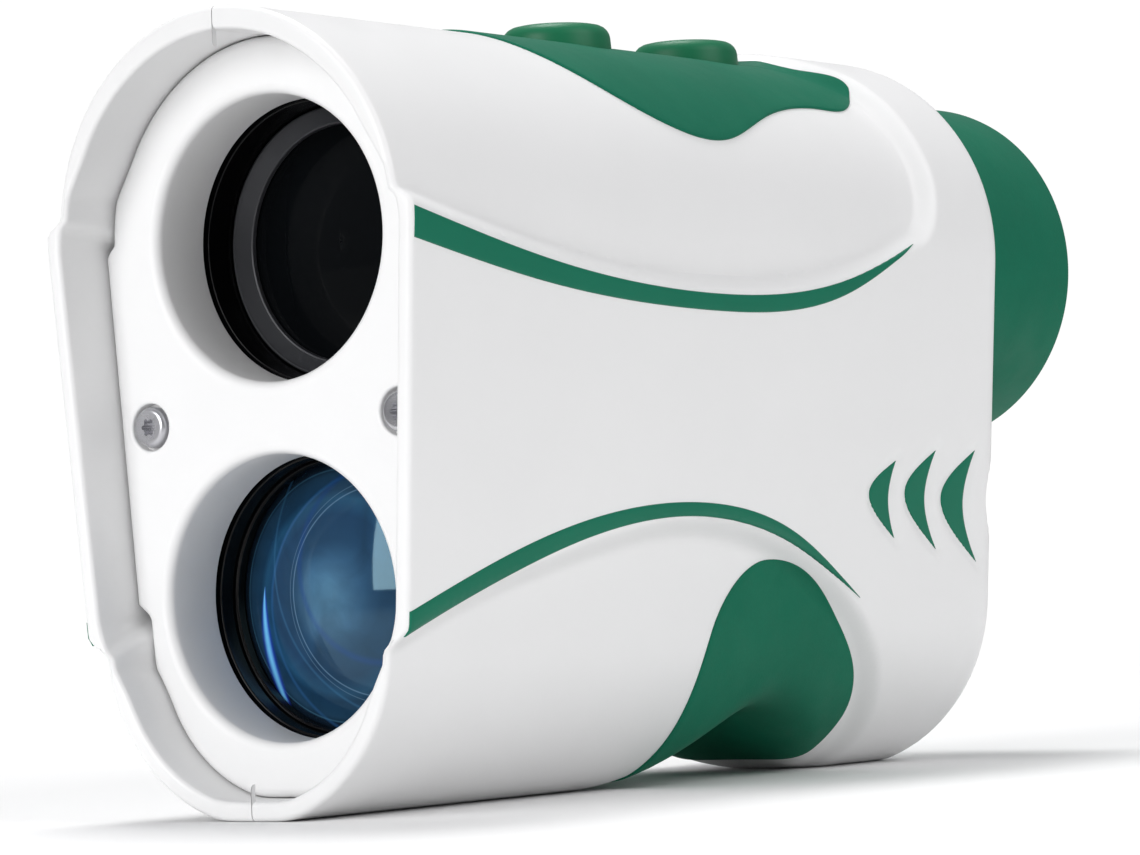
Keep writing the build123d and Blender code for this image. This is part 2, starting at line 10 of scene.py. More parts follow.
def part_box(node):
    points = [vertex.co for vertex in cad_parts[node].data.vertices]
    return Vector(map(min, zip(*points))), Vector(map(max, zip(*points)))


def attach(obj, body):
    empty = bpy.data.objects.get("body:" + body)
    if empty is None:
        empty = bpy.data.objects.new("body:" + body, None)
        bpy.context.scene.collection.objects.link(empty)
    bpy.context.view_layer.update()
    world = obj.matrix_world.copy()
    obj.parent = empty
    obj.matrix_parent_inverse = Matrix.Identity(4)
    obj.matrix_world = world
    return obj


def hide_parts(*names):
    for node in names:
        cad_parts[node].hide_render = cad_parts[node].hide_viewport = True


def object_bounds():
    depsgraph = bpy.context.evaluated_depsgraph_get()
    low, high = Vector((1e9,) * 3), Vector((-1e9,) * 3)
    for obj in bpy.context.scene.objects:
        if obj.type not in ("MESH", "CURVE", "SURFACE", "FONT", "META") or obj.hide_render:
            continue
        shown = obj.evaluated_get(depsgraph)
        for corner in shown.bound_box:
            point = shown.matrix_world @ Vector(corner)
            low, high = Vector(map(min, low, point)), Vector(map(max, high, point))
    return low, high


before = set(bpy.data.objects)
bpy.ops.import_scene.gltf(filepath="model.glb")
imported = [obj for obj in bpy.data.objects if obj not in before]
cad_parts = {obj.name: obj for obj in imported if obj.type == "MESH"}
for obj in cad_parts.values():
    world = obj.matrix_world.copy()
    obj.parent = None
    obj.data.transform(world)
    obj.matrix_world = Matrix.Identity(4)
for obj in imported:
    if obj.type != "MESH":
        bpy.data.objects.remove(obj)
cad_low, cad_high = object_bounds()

# Hand-held laser rangefinder.  Shapes are worked out in millimetres as (x, depth, z), where depth
# is measured back from the front rim, and are turned into the frame's metres when a mesh is made.

FRONT_Y = cad_low.y * 1000


# ------------------------------------------------------------------ places read from the frame
def node_centre(node):
    low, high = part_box(node)
    middle = (Vector(low) + Vector(high)) / 2 * 1000
    return middle.x, middle.y - FRONT_Y, middle.z


def node_depths(node):
    low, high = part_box(node)
    return low[1] * 1000 - FRONT_Y, high[1] * 1000 - FRONT_Y


SIGHT_Z = node_centre("objective_lens")[2]
RECEIVER_Z = node_centre("receiver_lens")[2]
PLATE_FRONT, PLATE_BACK = node_depths("front_plate")
SHELL_END = node_depths("left_shell")[1]
BODY_TOP = 70.0
FRONT_BUTTON = node_centre("front_button")
REAR_BUTTON = node_centre("rear_button")
BUTTON_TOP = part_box("front_button")[1][2] * 1000
BUTTON_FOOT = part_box("front_button")[0][2] * 1000
CAP_Z = node_centre("battery_cap")[2]
SCREW_Z = node_centre("plate_screws")[2]
SCREW_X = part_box("plate_screws")[1][0] * 1000 - 1.8

# the egg-shaped section: centre height and radius of its round top and round bottom
CORE = (51.1, 18.9, 15.5, 15.9)
SKIN = (51.0, 20.5, 17.2, 18.0)
WALL = 1.7
RIM_RAKE = 1.5
REAR_ROUND = 3.5
LEAST_X = 0.04          # the halves stop just short of the middle line
WINDOW_RADIUS = 12.5
EYEPIECE_HOLE = 14.9
PLATE_GAP = 0.06         # between the window plate and the housing
BATTERY_HOLE = 9.4
BUTTON_RADIUS = 5.25
# depth and height of each housing screw, and how far out its head sits
HOUSING_SCREWS = ((38.0, 34.6, 17.0), (86.4, 34.0, 17.0), (88.0, 6.4, 11.4))


# ------------------------------------------------------------------ curves and outlines
def smooth_step(value):
    value = np.clip(value, 0.0, 1.0)
    return value * value * (3 - 2 * value)


def spline(points, count=60, start=None, end=None):
    """Points along a smooth cubic curve through the given points."""
    knots = np.array(points, float)
    chords = np.linalg.norm(np.diff(knots, axis=0), axis=1)
    times = np.concatenate([[0], np.cumsum(chords)])
    total = len(knots)
    matrix = np.zeros((total, total))
    right = np.zeros((total, 2))
    for i in range(1, total - 1):
        before, after = times[i] - times[i - 1], times[i + 1] - times[i]
        matrix[i, i - 1] = after
        matrix[i, i] = 2 * (before + after)
        matrix[i, i + 1] = before
        right[i] = 3 * (
            after * (knots[i] - knots[i - 1]) / before + before * (knots[i + 1] - knots[i]) / after
        )
    for i, j, given in ((0, 1, start), (total - 1, total - 2, end)):
        if given is None:
            matrix[i, i], matrix[i, j] = 2, 1
            right[i] = 3 * (knots[max(i, j)] - knots[min(i, j)]) / abs(times[i] - times[j])
        else:
            matrix[i, i] = 1
            right[i] = np.array(given, float) / np.linalg.norm(given)
    slopes = np.linalg.solve(matrix, right)
    out = []
    for t in np.linspace(0, times[-1], count):
        i = min(np.searchsorted(times, t, side="right") - 1, total - 2)
        span = times[i + 1] - times[i]
        u = (t - times[i]) / span
        out.append(
            (2 * u**3 - 3 * u**2 + 1) * knots[i]
            + (u**3 - 2 * u**2 + u) * span * slopes[i]
            + (3 * u**2 - 2 * u**3) * knots[i + 1]
            + (u**3 - u**2) * span * slopes[i + 1]
        )
    return np.array(out)


def evenly(points, step):
    """The same line with its points the same distance apart."""
    points = np.array(points, float)
    lengths = np.concatenate([[0], np.cumsum(np.linalg.norm(np.diff(points, axis=0), axis=1))])
    count = max(int(round(lengths[-1] / step)), 2) + 1
    at = np.linspace(0, lengths[-1], count)
    return np.stack([np.interp(at, lengths, points[:, k]) for k in range(points.shape[1])], axis=1)


def inside(polygon, points):
    """True for each point that lies inside the polygon."""
    px, py = points[:, 0], points[:, 1]
    result = np.zeros(len(points), bool)
    for (ax, ay), (bx, by) in zip(polygon, np.roll(polygon, -1, axis=0)):
        crosses = (ay > py) != (by > py)
        if ay != by:
            result ^= crosses & (px < (bx - ax) * (py - ay) / (by - ay) + ax)
    return result


def distance_to(line, points, closed=True):
    """Distance from each point to a line of straight pieces."""
    starts = line if closed else line[:-1]
    ends = np.roll(line, -1, axis=0) if closed else line[1:]
    best = np.full(len(points), 1e9)
    for a, b in zip(starts, ends):
        along = b - a
        length = along @ along
        if length < 1e-12:
            continue
        t = np.clip((points - a) @ along / length, 0, 1)
        best = np.minimum(best, np.linalg.norm(points - a - t[:, None] * along, axis=1))
    return best


def depth_inside(polygon, points):
    """Positive inside the polygon, negative outside."""
    shape = points.shape[:-1]
    flat = points.reshape(-1, 2)
    away = distance_to(polygon, flat)
    return np.where(inside(polygon, flat), away, -away).reshape(shape)


UPPER_STRIPE = (
    [(0.9, 51.3), (20, 47.5), (46, 45.2), (68, 47.1), (80.5, 51.0)],
    [(0.9, 48.6), (20, 45.4), (46, 43.6), (68, 45.7), (80.5, 51.0)],
)
LOWER_STRIPE = (
    [(1.4, 17.5), (20, 23.4), (44, 26.2), (60, 23.2), (71.4, 16.8)],
    [(1.4, 15.4), (20, 21.6), (44, 24.9), (60, 22.0), (71.4, 16.8)],
)
CRESCENTS = (
    ((78.0, 29.9), (78.0, 22.4), (73.3, 26.9), (76.8, 26.4)),
    ((85.4, 30.9), (85.8, 21.2), (79.8, 27.0), (83.5, 26.3)),
    ((92.9, 30.9), (93.6, 19.8), (86.6, 26.5), (90.8, 25.8)),
)
PAD_SIDE = [
    (0, 30.9), (7.4, 32.0), (13.0, 36.6), (16.2, 45.0), (16.6, 54.5), (14.6, 64.2),
    (13.4, 75.0), (12.9, 80.8), (10.3, 84.3), (7.2, 80.8), (4.0, 78.9), (0, 78.5),
]
GRIP_CREST = [(47.3, 5.0), (49.6, 15.2), (57.2, 20.7), (65.0, 18.8), (72.0, 13.0), (76.4, 5.4)]


def crescent_outline(high, low, outer, inner):
    left = spline([high, outer, low], 48)
    right = spline([low, inner, high], 48)
    return np.concatenate([left[:-1], right[:-1]])


def stripe_outline(top, bottom):
    upper = spline(top, 110)
    lower = spline(bottom, 110)[::-1]
    return np.concatenate([upper[:-1], lower[:-1], evenly([lower[-1], upper[0]], 0.7)[:-1]])


CRESCENT_OUTLINES = [crescent_outline(*given) for given in CRESCENTS]

UPPER_SCOOP = np.concatenate([
    spline([(-12, 55.4), (-3, 53.3), (20, 48.7), (46, 46.3), (68, 48.1), (81.5, 51.6)], 120),
    spline([(81.5, 51.6), (84.8, 56.5), (85.0, 62.0), (84.2, 67.0)], 40, (2, 1), (-0.5, 1))[1:],
    np.array([(81.4, 68.4), (78.8, 69.7), (78.2, 72.0), (78.2, 80.0), (-12, 80)]),
])
LOWER_SCOOP = np.concatenate([
    spline(
        [(-12, 9.0), (-3, 13.0), (11, 18.0), (28.4, 22.0), (44, 23.8), (57, 21.9), (70.5, 15.3), (82.5, -2)],
        140,
    ),
    np.array([(82.5, -8), (-12, -8)]),
])


# ------------------------------------------------------------------ the body's surface
def egg_distance(x, z, egg):
    """How far a point of the section is outside an egg shape."""
    top_z, top_radius, bottom_z, bottom_radius = egg
    height = top_z - bottom_z
    x = np.abs(x)
    y = z - bottom_z
    lean = (bottom_radius - top_radius) / height
    upright = math.sqrt(1 - lean * lean)
    along = -x * lean + y * upright
    side = x * upright + y * lean - bottom_radius
    low = np.hypot(x, y) - bottom_radius
    high = np.hypot(x, y - height) - top_radius
    return np.where(along < 0, low, np.where(along > upright * height, high, side))


CORE_LEAN = (CORE[3] - CORE[1]) / (CORE[0] - CORE[2])
LEAN_ANGLE = math.asin(CORE_LEAN)
TOP_ARC = CORE[1] * (math.pi / 2 - LEAN_ANGLE)
SIDE_LINE = (CORE[0] - CORE[2]) * math.cos(LEAN_ANGLE)
BOTTOM_ARC = CORE[3] * (math.pi / 2 + LEAN_ANGLE)
HALF_ROUND = TOP_ARC + SIDE_LINE + BOTTOM_ARC


def core_section(s):
    """Place and outward direction on the section, s millimetres round from its top."""
    s = np.asarray(s, float)
    top = s < TOP_ARC
    low = s > TOP_ARC + SIDE_LINE
    angle = np.where(top, math.pi / 2 - s / CORE[1], LEAN_ANGLE)
    angle = np.where(low, LEAN_ANGLE - (s - TOP_ARC - SIDE_LINE) / CORE[3], angle)
    nx, nz = np.cos(angle), np.sin(angle)
    slid = np.clip(s - TOP_ARC, 0, SIDE_LINE)
    x = np.where(low, CORE[3] * nx, CORE[1] * nx + slid * math.sin(LEAN_ANGLE))
    z = np.where(low, CORE[2] + CORE[3] * nz, CORE[0] + CORE[1] * nz - slid * math.cos(LEAN_ANGLE))
    return x, z, nx, nz


def skin_rise(s):
    """How far the full-width skin stands outside the scooped surface."""
    x, z, nx, nz = core_section(s)
    rise = np.zeros_like(x)
    for _ in range(4):
        rise = rise - egg_distance(x + nx * rise, z + nz * rise, SKIN)
    return rise


NOTCH_LINE = np.concatenate([
    np.array([(-20.0, 0.0)]),
    spline([(44.0, 0.0), (62.0, 7.0), (81.0, 0.0)], 80, (1, 0.05), (1, -0.05)),
    np.array([(120.0, 0.0)]),
])


def floor_height(depth):
    return np.interp(depth, NOTCH_LINE[:, 0], NOTCH_LINE[:, 1])


def soft_max(a, b, blend):
    gap = np.maximum(blend - np.abs(a - b), 0) / blend
    return np.maximum(a, b) + gap * gap * blend / 4


def scoop_weight(depth, z):
    """1 on the full-width skin, 0 in the scooped areas, with soft steps between."""
    place = np.stack([depth, z], axis=-1)
    upper = depth_inside(UPPER_SCOOP, place)
    lower = depth_inside(LOWER_SCOOP, place)
    upper_width = 1.7 + 0.5 * smooth_step((depth - 76) / 6)
    lower_width = 2.3
    weight = 1 - smooth_step(0.5 + upper / upper_width)
    return weight * (1 - smooth_step(0.5 + (lower + 0.2) / lower_width))


def crescent_dish(depth, z):
    """How far the skin dips round the crescents."""
    place = np.stack([depth, z], axis=-1)
    dip = np.zeros_like(depth)
    near = (depth > 70) & (depth < 97) & (z > 16) & (z < 34)
    for outline in CRESCENT_OUTLINES:
        away = -depth_inside(outline, place[near])
        dip[near] = np.maximum(dip[near], 0.42 * (1 - smooth_step((away - 0.1) / 1.0)))
    return dip


class SideMap:
    """Values worked out once over the side view, then looked up between grid points."""

    STEP = 0.2

    def __init__(self, make):
        self.depths = np.arange(-3.0, 101.0, self.STEP)
        self.heights = np.arange(-2.0, 73.0, self.STEP)
        depth, z = np.meshgrid(self.depths, self.heights, indexing="ij")
        self.values = make(depth, z)

    def __call__(self, depth, z):
        i = np.clip((depth - self.depths[0]) / self.STEP, 0, len(self.depths) - 1.001)
        j = np.clip((z - self.heights[0]) / self.STEP, 0, len(self.heights) - 1.001)
        i0, j0 = i.astype(int), j.astype(int)
        u, v = i - i0, j - j0
        table = self.values
        low = table[i0, j0] * (1 - u) + table[i0 + 1, j0] * u
        high = table[i0, j0 + 1] * (1 - u) + table[i0 + 1, j0 + 1] * u
        return low * (1 - v) + high * v


skin_weight = SideMap(scoop_weight)
skin_dish = SideMap(crescent_dish)


def body_surface(s, depth, lift=0.0, inset=0.0):
    """Point on the outside of the body for each place round it and along it."""
    s, depth = np.broadcast_arrays(np.asarray(s, float), np.asarray(depth, float))
    x, z, nx, nz = core_section(s)
    rise = skin_rise(s)
    height = rise.copy()
    for _ in range(2):
        at_z = z + nz * height * (nz < 0)
        height = rise * skin_weight(depth, at_z) - skin_dish(depth, at_z)
    out = height + lift - inset
    px, pz = x + nx * out, z + nz * out
    ground = floor_height(depth)
    pz = soft_max(pz, ground - np.minimum(lift, 0.3), 0.35 + 0.62 * ground)
    return np.stack([px, depth, pz], axis=-1)


def lining(s, depth):
    """How high the inside of the front rim stands, kept under the outside at that depth."""
    x, z, nx, nz = core_section(s)
    rise = skin_rise(s)
    panel = smooth_step((59.5 - z) / 9.5) * smooth_step((z - 9.0) / 9.0)
    inner = -WALL - 0.35 * smooth_step((z - 56) / 12) + (rise + 0.15) * panel
    depth = np.full_like(z, depth)
    outside = np.minimum(
        rise * skin_weight(depth, z), rise * skin_weight(depth, z + nz * rise * 0.7)
    )
    return np.minimum(inner, outside - 0.9)


def section_place(depth, z):
    """How far round the section the outside reaches a height, on its side."""
    depth, z = np.asarray(depth, float), np.asarray(z, float)
    table = np.linspace(4.0, HALF_ROUND - 2.0, 900)
    heights = core_section(table)[1]
    s = np.interp(-z, -heights, table)
    for _ in range(5):
        s = s + (body_surface(s, depth)[..., 2] - z) * 0.9
    return s


def pad_outline():
    side = spline(PAD_SIDE, 150, (1, 0), (-1, 0))
    other = side[::-1][1:-1] * np.array([-1, 1])
    loop = np.concatenate([side, other])
    loop[:, 0] = CORE[1] * np.arcsin(loop[:, 0] / CORE[1])
    return loop


def grip_outline():
    crest = spline(GRIP_CREST, 90, (0, 1), (0.1, -1))
    round_way = HALF_ROUND - section_place(crest[:, 0], crest[:, 1])
    half = np.stack([round_way, crest[:, 0]], axis=1)
    front_edge = evenly([(0.0, 47.3), half[0]], 0.6)
    rear_edge = evenly([half[-1], (0.0, 76.0)], 0.6)
    half = np.concatenate([front_edge[:-1], half, rear_edge[1:]])
    other = half[::-1][1:-1] * np.array([-1, 1])
    return np.concatenate([half, other])


def pocket_depth(s, points):
    """How far the housing drops under the green inlays."""
    sink = np.zeros(points.shape[:2])
    s = np.broadcast_to(s, sink.shape)
    side_view = points[..., 1:3]
    round_top = np.stack([s, points[..., 1]], axis=-1)
    round_belly = np.stack([HALF_ROUND - s, points[..., 1]], axis=-1)
    outlines = [(side_view, stripe_outline(*UPPER_STRIPE)), (side_view, stripe_outline(*LOWER_STRIPE))]
    outlines += [(side_view, outline) for outline in CRESCENT_OUTLINES]
    outlines += [(round_top, pad_outline()), (round_belly, grip_outline())]
    for place, outline in outlines:
        low, high = outline.min(axis=0), outline.max(axis=0)
        near = ((place > low) & (place < high)).all(axis=-1)
        if place is side_view:
            near &= (s > 12) & (s < HALF_ROUND - 12)
        within = depth_inside(outline, place[near])
        sink[near] = np.maximum(sink[near], 0.35 * smooth_step((within - 0.3) / 0.5))
    return sink


# ------------------------------------------------------------------ mesh making
def make_object(name, points, faces, body, replaced=(), material=None, sharp=38):
    """A mesh object from millimetre points, riding on its body."""
    scaled = [(x / 1000, (d + FRONT_Y) / 1000, z / 1000) for x, d, z in points]
    mesh = bpy.data.meshes.new(name)
    mesh.from_pydata(scaled, [], faces)
    cleaner = bmesh.new()
    cleaner.from_mesh(mesh)
    bmesh.ops.remove_doubles(cleaner, verts=cleaner.verts, dist=2e-6)
    bmesh.ops.dissolve_degenerate(cleaner, edges=cleaner.edges, dist=1e-7)
    cleaner.to_mesh(mesh)
    cleaner.free()
    mesh.shade_smooth()
    mesh.set_sharp_from_angle(angle=math.radians(sharp))
    made = bpy.data.objects.new(name, mesh)
    bpy.context.scene.collection.objects.link(made)
    if material is not None:
        mesh.materials.append(material)
    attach(made, body)
    if replaced:
        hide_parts(*replaced)
    return made


def grid_faces(rows, columns, offset=0, wrap=False, flip=False):
    faces = []
    last = columns if wrap else columns - 1
    for i in range(rows - 1):
        for j in range(last):
            k = (j + 1) % columns
            quad = (
                offset + i * columns + j,
                offset + i * columns + k,
                offset + (i + 1) * columns + k,
                offset + (i + 1) * columns + j,
            )
            faces.append(quad[::-1] if flip else quad)
    return faces


class Build:
    """Collects points and faces of one piece."""

    def __init__(self):
        self.points = []
        self.faces = []

    def add(self, points, faces):
        offset = len(self.points)
        self.points.extend(map(tuple, np.asarray(points, float).reshape(-1, 3)))
        self.faces.extend(tuple(i + offset for i in face) for face in faces)

    def grid(self, points, wrap=False, flip=False):
        points = np.asarray(points, float)
        rows, columns = points.shape[:2]
        self.add(points.reshape(-1, 3), grid_faces(rows, columns, 0, wrap, flip))

    def mirrored(self):
        other = Build()
        other.points = [(-x, d, z) for x, d, z in self.points]
        other.faces = [face[::-1] for face in self.faces]
        return other


def filled(outline, step, holes=(), margin=0.55):
    """Flat triangles inside an outline: points, faces; the outline's points come first."""
    loops = [np.asarray(outline, float)] + [np.asarray(hole, float) for hole in holes]
    low, high = loops[0].min(axis=0), loops[0].max(axis=0)
    rows = []
    for i, y in enumerate(np.arange(low[1] + step / 2, high[1], step * 0.87)):
        xs = np.arange(low[0] + (step / 2 if i % 2 else 0), high[0], step)
        rows.append(np.stack([xs, np.full_like(xs, y)], axis=1))
    interior = np.concatenate(rows) if rows else np.zeros((0, 2))
    keep = inside(loops[0], interior)
    for hole in loops[1:]:
        keep &= ~inside(hole, interior)
    interior = interior[keep]
    for loop in loops:
        if len(interior):
            interior = interior[distance_to(loop, interior) > step * margin]
    points = np.concatenate(loops + [interior])
    edges, start = [], 0
    for loop in loops:
        count = len(loop)
        edges += [(start + i, start + (i + 1) % count) for i in range(count)]
        start += count
    found = delaunay_2d_cdt([Vector(p) for p in points], edges, [], 0, 1e-7)
    flat = np.array([tuple(p) for p in found[0]])
    corners = np.array([tuple(face) for face in found[2]])
    middles = flat[corners].mean(axis=1)
    keep = inside(loops[0], middles)
    for hole in loops[1:]:
        keep &= ~inside(hole, middles)
    corners = corners[keep]
    a, b, c = flat[corners[:, 0]], flat[corners[:, 1]], flat[corners[:, 2]]
    area = (b[:, 0] - a[:, 0]) * (c[:, 1] - a[:, 1]) - (b[:, 1] - a[:, 1]) * (c[:, 0] - a[:, 0])
    corners[area < 0] = corners[area < 0][:, ::-1]
    faces = [tuple(map(int, face)) for face in corners]
    return flat, faces


def outline_normals(outline):
    before = outline - np.roll(outline, 1, axis=0)
    after = np.roll(outline, -1, axis=0) - outline
    before /= np.linalg.norm(before, axis=1)[:, None] + 1e-12
    after /= np.linalg.norm(after, axis=1)[:, None] + 1e-12
    along = before + after
    along /= np.linalg.norm(along, axis=1)[:, None] + 1e-12
    return np.stack([along[:, 1], -along[:, 0]], axis=1)


def counter_clockwise(outline):
    x, y = outline[:, 0], outline[:, 1]
    area = (x * np.roll(y, -1) - np.roll(x, -1) * y).sum()
    return outline if area > 0 else outline[::-1]


def inlay(outline, to_surface, rise, rounding, skirt, step):
    """A sheet let into the body, with a small rounded edge, as a Build."""
    outline = counter_clockwise(np.asarray(outline, float))
    normals = outline_normals(outline)
    width = np.full(len(outline), 1e9)
    for i, (point, normal) in enumerate(zip(outline, normals)):
        facing = normals @ normal < -0.3
        if facing.any():
            width[i] = np.linalg.norm(outline[facing] - point, axis=1).min()
    reach = np.minimum(rounding, width * 0.3)
    for _ in range(3):
        reach = np.minimum(reach, np.minimum(np.roll(reach, 1), np.roll(reach, -1)) + 0.02)
    build = Build()
    inner = outline - normals * reach[:, None]
    flat, faces = filled(inner, step)
    build.add(to_surface(flat, np.full(len(flat), rise)), faces)
    rows = []
    for turn in np.linspace(0, math.pi / 2, 5):
        place = inner + normals * (reach * math.sin(turn))[:, None]
        rows.append(to_surface(place, rise - reach * (1 - math.cos(turn)) * 1.0))
    rows.append(to_surface(outline, np.full(len(outline), -skirt)))
    build.grid(np.array(rows), wrap=True, flip=True)
    return build


def circle(centre_a, centre_b, radius, count):
    angles = np.linspace(0, 2 * math.pi, count, endpoint=False)
    return np.stack([centre_a + radius * np.cos(angles), centre_b + radius * np.sin(angles)], axis=1)


def at_depth(outline, depth):
    """An (x, z) outline stood up at one depth."""
    return np.stack([outline[:, 0], np.full(len(outline), depth), outline[:, 1]], axis=1)


def corner_rows(outline_at, front, radius, count):
    """Rows over a rounded front edge; outline_at gives the outline for a distance from its far end."""
    return [
        at_depth(outline_at(radius * (1 - math.sin(turn))), front + radius * (1 - math.cos(turn)))
        for turn in np.linspace(0, math.pi / 2, count)
    ]


def rounded_corner(before, corner, after, radius, count=6):
    """Points that round off one corner of a profile."""
    before, corner, after = (np.array(p, float) for p in (before, corner, after))
    to_before = (before - corner) / np.linalg.norm(before - corner)
    to_after = (after - corner) / np.linalg.norm(after - corner)
    half = math.acos(np.clip(to_before @ to_after, -1, 1)) / 2
    back = radius / math.tan(half)
    bisector = (to_before + to_after) / np.linalg.norm(to_before + to_after)
    centre = corner + bisector * radius / math.sin(half)
    first = corner + to_before * back - centre
    last = corner + to_after * back - centre
    sweep = math.acos(np.clip(first @ last / radius**2, -1, 1))
    out = []
    for u in np.linspace(0, 1, count):
        blend = (math.sin((1 - u) * sweep) * first + math.sin(u * sweep) * last) / math.sin(sweep)
        out.append(tuple(centre + blend))
    return out


def profile_of(corners, closed=False):
    """A profile from (depth, radius, rounding) corners."""
    out = []
    count = len(corners)
    for i, (depth, radius, rounding) in enumerate(corners):
        if rounding <= 0 or (not closed and i in (0, count - 1)):
            out.append((depth, radius))
            continue
        before = corners[i - 1][:2]
        after = corners[(i + 1) % count][:2]
        out.extend(rounded_corner(before, (depth, radius), after, rounding))
    if closed:
        out.append(out[0])
    return out


# ------------------------------------------------------------------ materials
def srgb(red, green, blue):
    out = []
    for value in (red, green, blue):
        value = value / 255
        out.append(value / 12.92 if value <= 0.04045 else ((value + 0.055) / 1.055) ** 2.4)
    return (*out, 1.0)


def started_material(name):
    """A new material, with its nodes, links, main shader and place in the object."""
    material = bpy.data.materials.new(name)
    material.use_nodes = True
    nodes, links = material.node_tree.nodes, material.node_tree.links
    place = nodes.new("ShaderNodeTexCoord").outputs["Object"]
    return material, nodes, links, nodes["Principled BSDF"], place


def add_node(nodes, kind, inputs=(), **settings):
    """A new shader node with its settings and its constant inputs."""
    node = nodes.new("ShaderNode" + kind)
    for name, value in settings.items():
        setattr(node, name, value)
    for name, value in dict(inputs).items():
        node.inputs[name].default_value = value
    return node


def blended(nodes, links, kind, factor, first, second):
    """A colour mixed from two others; each of the three may be a socket or a constant."""
    node = add_node(nodes, "Mix", data_type="RGBA", blend_type=kind)
    for key, value in (("Factor", factor), ("A", first), ("B", second)):
        if isinstance(value, (float, tuple)):
            node.inputs[key].default_value = value
        else:
            links.new(value, node.inputs[key])
    return node.outputs["Result"]


def scaled_colour(colour, factor, offset=0.0):
    return tuple(min(channel * factor + offset, 1) for channel in colour[:3]) + (1,)


def finish_material(
    name, colour, rough, rough_spread=0.06, mottle=0.05, grain=0.15, grain_size=0.25, metallic=0.0,
    specular=0.5, coat=0.0, wear=0.0, speckle=0.0,
):
    """A moulded, rubbery or metal finish; grain_size is in millimetres."""
    material, nodes, links, shader, place = started_material(name)

    def noise(size, detail=3.0, roughness=0.55):
        node = add_node(nodes, "TexNoise", {"Scale": 1000 / size, "Detail": detail, "Roughness": roughness})
        links.new(place, node.inputs["Vector"])
        return node.outputs["Fac"]

    def spread(source, low, high):
        limits = {"From Min": 0.3, "From Max": 0.7, "To Min": low, "To Max": high}
        node = add_node(nodes, "MapRange", limits)
        links.new(source, node.inputs["Value"])
        return node.outputs["Result"]

    darker, lighter = scaled_colour(colour, 1 - mottle), scaled_colour(colour, 1 + mottle)
    result = blended(nodes, links, "MIX", spread(noise(14.0, 4.0), 0, 1), darker, lighter)
    if speckle > 0:
        fine = spread(noise(grain_size * 1.4, 2.0), 0, speckle)
        result = blended(nodes, links, "MULTIPLY", fine, result, (0.82, 0.82, 0.82, 1))
    if wear > 0:
        worn = add_node(nodes, "MapRange", {"From Min": 0.52, "From Max": 0.60, "To Max": wear})
        links.new(nodes.new("ShaderNodeNewGeometry").outputs["Pointiness"], worn.inputs["Value"])
        worn_colour = scaled_colour(colour, 1.5, 0.04)
        result = blended(nodes, links, "MIX", worn.outputs["Result"], result, worn_colour)
    links.new(result, shader.inputs["Base Color"])
    gloss = spread(noise(5.0, 3.0), rough - rough_spread, rough + rough_spread)
    links.new(gloss, shader.inputs["Roughness"])
    bump = add_node(nodes, "Bump", {"Strength": grain, "Distance": 0.00003})
    links.new(noise(grain_size, 2.0, 0.6), bump.inputs["Height"])
    links.new(bump.outputs["Normal"], shader.inputs["Normal"])
    shader.inputs["Metallic"].default_value = metallic
    shader.inputs["Specular IOR Level"].default_value = specular
    shader.inputs["Coat Weight"].default_value = coat
    shader.inputs["Coat Roughness"].default_value = 0.1
    material.diffuse_color = colour
    return material


WHITE = finish_material("white_plastic", srgb(234, 234, 234), 0.36, 0.04, 0.008, 0.10, 0.35, specular=0.42)
PLATE_WHITE = finish_material(
    "plate_plastic", srgb(236, 236, 236), 0.40, 0.04, 0.008, 0.14, 0.30, specular=0.4
)
TRIM_GREEN = finish_material("trim_green", srgb(4, 108, 82), 0.45, 0.05, 0.04, 0.16, 0.22, specular=0.22)
RUBBER_GREEN = finish_material(
    "rubber_green", srgb(5, 104, 78), 0.62, 0.06, 0.06, 0.42, 0.20, specular=0.18, wear=0.10, speckle=0.35
)
BUTTON_GREEN = finish_material(
    "button_green", srgb(4, 106, 70), 0.44, 0.05, 0.05, 0.2, 0.18, specular=0.3, wear=0.10, speckle=0.2
)
BLACK_MATTE = finish_material(
    "black_matte", srgb(16, 16, 17), 0.55, 0.08, 0.12, 0.5, 0.15, specular=0.3, speckle=0.4
)
BLACK_SATIN = finish_material("black_satin", srgb(5, 5, 6), 0.20, 0.04, 0.12, 0.10, 0.12, specular=0.22)
GREY_RING = finish_material("anodised_ring", srgb(52, 53, 57), 0.42, 0.08, 0.08, 0.2, 0.10, metallic=0.3)
STEEL = finish_material(
    "screw_steel", srgb(196, 196, 200), 0.24, 0.08, 0.05, 0.25, 0.12, metallic=1.0, wear=0.1
)
GOLD = finish_material("gold_plate", srgb(214, 176, 96), 0.25, 0.06, 0.05, 0.2, 0.12, metallic=1.0)
BOARD = finish_material(
    "board_green", srgb(22, 74, 44), 0.45, 0.08, 0.15, 0.4, 0.5, specular=0.5, speckle=0.4
)
FILM = finish_material("cable_film", srgb(186, 120, 40), 0.35, 0.05, 0.1, 0.2, 0.4)
WRAP = finish_material("battery_wrap", srgb(120, 124, 128), 0.3, 0.06, 0.06, 0.2, 0.3, coat=0.4)
SEAL = finish_material(
    "seal_rubber", srgb(20, 20, 20), 0.65, 0.08, 0.1, 0.5, 0.1, specular=0.3, speckle=0.3
)


def glass_material(name, tint):
    """Dark coated glass that shows soft reflections."""
    return finish_material(name, tint, 0.03, 0.01, 0.06, 0.01, 6.0, specular=0.07)


DARK_GLASS = glass_material("dark_glass", srgb(9, 11, 13))
CLEAR_GLASS = glass_material("clear_glass", srgb(30, 36, 40))
PRISM_GLASS = glass_material("prism_glass", srgb(70, 84, 88))


